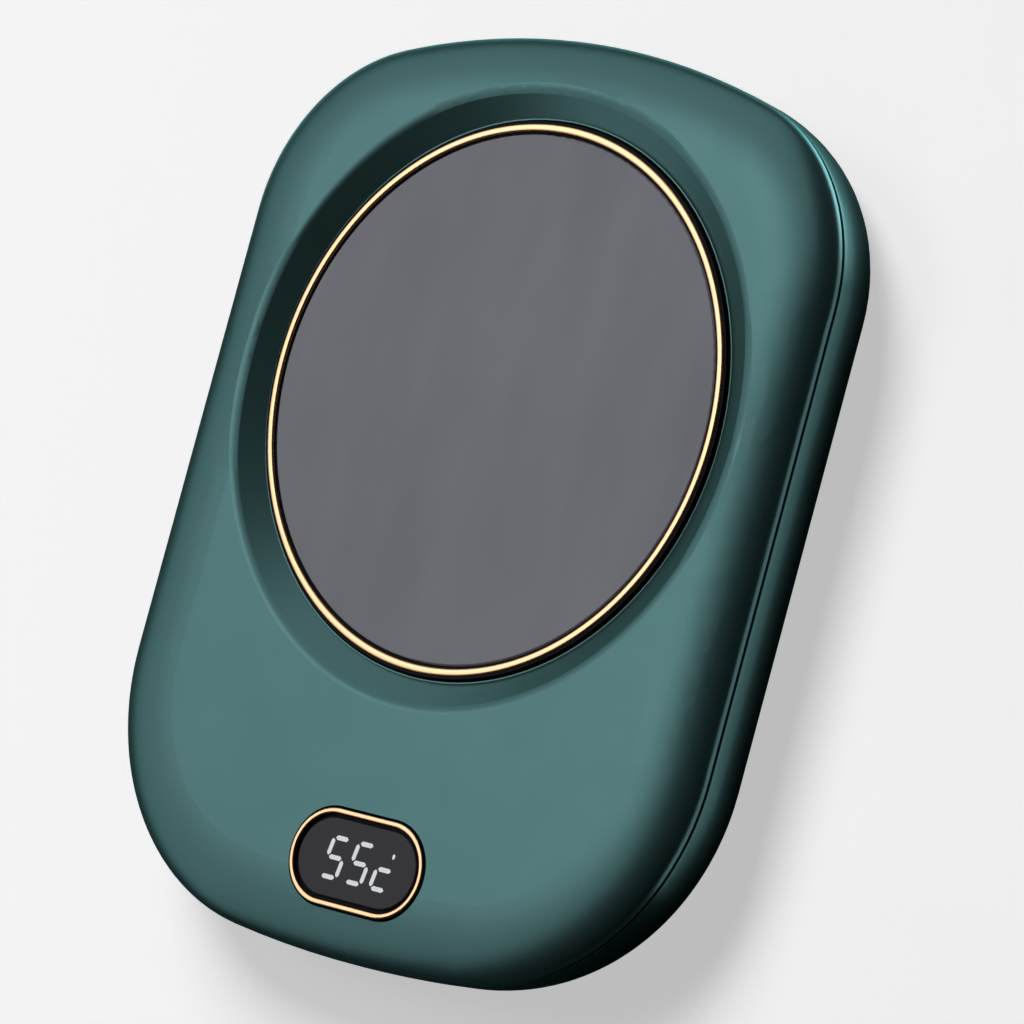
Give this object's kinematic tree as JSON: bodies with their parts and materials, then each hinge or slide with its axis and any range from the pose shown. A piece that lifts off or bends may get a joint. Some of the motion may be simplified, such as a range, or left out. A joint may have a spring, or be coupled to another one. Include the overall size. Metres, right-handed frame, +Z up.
{
  "type": "mug warmer",
  "caption": "Flat desk mug warmer with a sprung round glass heating plate in a shallow recess, gold trim rings and an obround display window that works as its push key.",
  "frame": {"origin": "on the table, under the middle of the casing", "axes": "+X to the right with the display in front, +Y to the rear, where the plate is, and +Z up"},
  "size_m": [0.118, 0.15, 0.0195],
  "materials": {
    "teal_shell": "satin metallic lacquer",
    "dark_glass": "satin ceramic-printed glass",
    "gold_trim": "polished",
    "black_plastic": "matt",
    "smoked_lens": "gloss",
    "digit_light": "diffuse",
    "silicone": "matt",
    "clear_silicone": "matt",
    "screw_steel": "black zinc",
    "spring_steel": "drawn wire",
    "sheet_steel": "zinc plated",
    "label_film": "satin",
    "spreader_aluminium": "milled",
    "polyimide": "film",
    "fibre_felt": "felt",
    "sensor_resin": "moulded",
    "fuse_ceramic": "matt",
    "circuit_board": "solder mask",
    "chip_resin": "moulded",
    "capacitor_can": "sleeved",
    "ferrite": "matt",
    "buzzer_case": "matt",
    "connector_nylon": "natural",
    "module_white": "matt",
    "switch_housing": "matt",
    "plunger_plastic": "matt",
    "socket_steel": "drawn",
    "socket_tongue": "matt",
    "heater_wire": "silicone sleeve",
    "sensor_wire": "pvc",
    "switch_wire": "pvc",
    "power_wire": "pvc"
  },
  "bodies": {
    "housing": {"top_cover": "teal_shell", "bottom_cover": "teal_shell", "feet": "silicone", "key_gasket": "clear_silicone", "case_screws": "screw_steel", "sensor_board_screws": "screw_steel", "control_board_screws": "screw_steel", "usb_board_screws": "screw_steel", "plate_springs": "spring_steel", "rating_plate": "label_film", "control_board": "circuit_board", "sensor_board": "circuit_board", "usb_board": "circuit_board", "board_chips": "chip_resin", "board_capacitors": "capacitor_can", "power_inductor": "ferrite", "buzzer": "buzzer_case", "wire_headers": "connector_nylon", "digit_module": "module_white", "plate_switch": "switch_housing", "key_switches": "switch_housing", "usb_socket_shell": "socket_steel", "usb_socket_tongue": "socket_tongue", "heater_leads": "heater_wire", "sensor_leads": "sensor_wire", "switch_leads": "switch_wire", "power_leads": "power_wire"},
    "plate": {"glass_plate": "dark_glass", "plate_trim_ring": "gold_trim", "plate_carrier": "black_plastic", "spill_seal": "silicone", "heat_spreader": "spreader_aluminium", "heater_foil": "polyimide", "insulation_pad": "fibre_felt", "heater_clamp_plate": "sheet_steel", "clamp_screws": "screw_steel", "temperature_sensor": "sensor_resin", "thermal_fuse": "fuse_ceramic", "plate_switch_plunger": "plunger_plastic"},
    "display_key": {"display_lens": "smoked_lens", "digit_windows": "digit_light", "key_trim_ring": "gold_trim", "key_frame": "black_plastic", "key_switch_plungers": "plunger_plastic"}
  },
  "joints": [
    {"name": "plate_press", "type": "slide", "parent": "housing", "child": "plate", "axis": [0, 0, -1], "range_m": [0, 0.001], "stiffness_N_per_m": 600, "springref_m": -0.0035, "deforming": ["plate_springs", "heater_leads", "sensor_leads"]},
    {"name": "key_press", "type": "slide", "parent": "housing", "child": "display_key", "axis": [0, 0, -1], "range_m": [0, 0.0005], "stiffness_N_per_m": 500, "springref_m": -0.001, "deforming": ["key_gasket"]}
  ]
}
